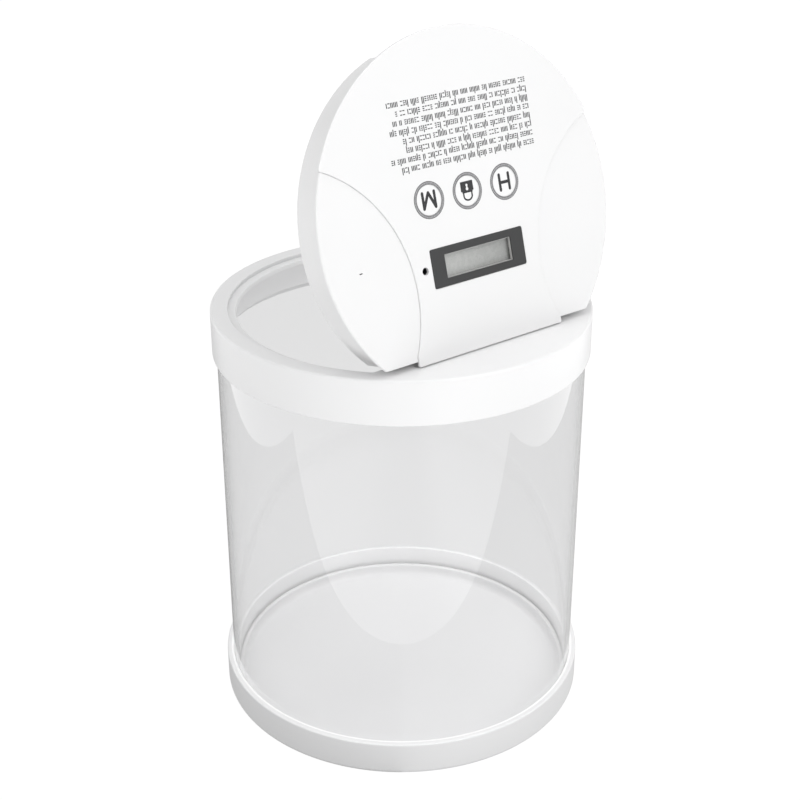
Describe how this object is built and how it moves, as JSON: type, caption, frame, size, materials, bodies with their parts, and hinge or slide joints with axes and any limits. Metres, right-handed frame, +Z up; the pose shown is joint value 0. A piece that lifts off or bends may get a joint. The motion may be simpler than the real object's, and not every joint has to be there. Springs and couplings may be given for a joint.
{
  "type": "hinged-lid storage jar",
  "caption": "Clear cylindrical jar in a white base cup, with a white collar and a hinged round lid that carries a small display, round keys and a motor-driven latch.",
  "frame": {"origin": "centre of the base's underside, on the jar's axis", "axes": "+Z up along the jar's axis; +Y towards the hinge, at the back; -Y towards the latch and the user; +X to the right of a user at the front"},
  "size_m": [0.1622, 0.1622, 0.3029],
  "materials": {
    "base_cup": "satin white ABS",
    "jar_tube": "clear, seen as clear acrylic",
    "collar_ring": "satin white ABS",
    "hinge_pins": "polished",
    "hinge_springs": "spring wire",
    "lid_shell": "satin white ABS",
    "top_panel": "gloss white ABS, grey pad print",
    "display_bezel": "fine dark grey",
    "display_lens": "clear window",
    "lcd_module": "blank display, light grey",
    "main_board": "green solder mask",
    "board_screws": "zinc plated",
    "key_hours": "gloss white, printed letter",
    "key_lock": "gloss white, printed padlock",
    "key_minutes": "gloss white, printed letter",
    "key_switches": "black",
    "power_jack": "black",
    "buzzer": "black",
    "lock_motor": "plated can",
    "motor_pinion": "natural acetal",
    "latch_bolt": "plated",
    "bolt_guide": "natural acetal",
    "bottom_cover": "white ABS, fine texture",
    "cover_screws": "zinc plated",
    "battery_door": "white ABS, fine texture",
    "battery_cells": "plain wrapper",
    "battery_springs": "nickel plated wire",
    "battery_contacts": "nickel plated strip"
  },
  "bodies": {
    "jar": {"base_cup": "base_cup", "jar_tube": "jar_tube", "collar_ring": "collar_ring", "hinge_pins": "hinge_pins"},
    "lid": {"hinge_springs": "hinge_springs", "lid_shell": "lid_shell", "top_panel": "top_panel", "display_bezel": "display_bezel", "display_lens": "display_lens", "lcd_module": "lcd_module", "main_board": "main_board", "board_screws": "board_screws", "key_switches": "key_switches", "power_jack": "power_jack", "buzzer": "buzzer", "lock_motor": "lock_motor", "bolt_guide": "bolt_guide", "bottom_cover": "bottom_cover", "cover_screws": "cover_screws", "battery_cells": "battery_cells", "battery_springs": "battery_springs", "battery_contacts": "battery_contacts"},
    "hours_key": {"key_hours": "key_hours"},
    "lock_key": {"key_lock": "key_lock"},
    "minutes_key": {"key_minutes": "key_minutes"},
    "bolt": {"latch_bolt": "latch_bolt"},
    "pinion": {"motor_pinion": "motor_pinion"},
    "door": {"battery_door": "battery_door"}
  },
  "joints": [
    {"name": "lid_hinge", "type": "hinge", "parent": "jar", "child": "lid", "pos_m": [0, 0.0554, 0.1792], "axis": [1, 0, 0], "range_deg": [0, 73.9], "stiffness_Nm_per_rad": 0.05, "springref_deg": -68.75, "deforming": ["hinge_springs"]},
    {"name": "hours_key_press", "type": "slide", "parent": "lid", "child": "hours_key", "axis": [0, -0.9608, -0.2773], "range_m": [0, 0.0004], "stiffness_N_per_m": 600, "springref_m": -0.0005},
    {"name": "lock_key_press", "type": "slide", "parent": "lid", "child": "lock_key", "axis": [0, -0.9608, -0.2773], "range_m": [0, 0.0004], "stiffness_N_per_m": 600, "springref_m": -0.0005},
    {"name": "minutes_key_press", "type": "slide", "parent": "lid", "child": "minutes_key", "axis": [0, -0.9608, -0.2773], "range_m": [0, 0.0004], "stiffness_N_per_m": 600, "springref_m": -0.0005},
    {"name": "bolt_slide", "type": "slide", "parent": "lid", "child": "bolt", "axis": [0, -0.2773, 0.9608], "range_m": [0, 0.01351]},
    {"name": "pinion_turn", "type": "hinge", "parent": "lid", "child": "pinion", "pos_m": [0, 0.02332, 0.2734], "axis": [1, 0, 0], "range_deg": [0, 258]},
    {"name": "battery_door_lift", "type": "slide", "parent": "lid", "child": "door", "axis": [0, -0.9608, -0.2773], "range_m": [0, 0.02]}
  ],
  "couplings": [
    {"joint": "pinion_turn", "follows": "bolt_slide", "rad_per_m": 333.33}
  ]
}
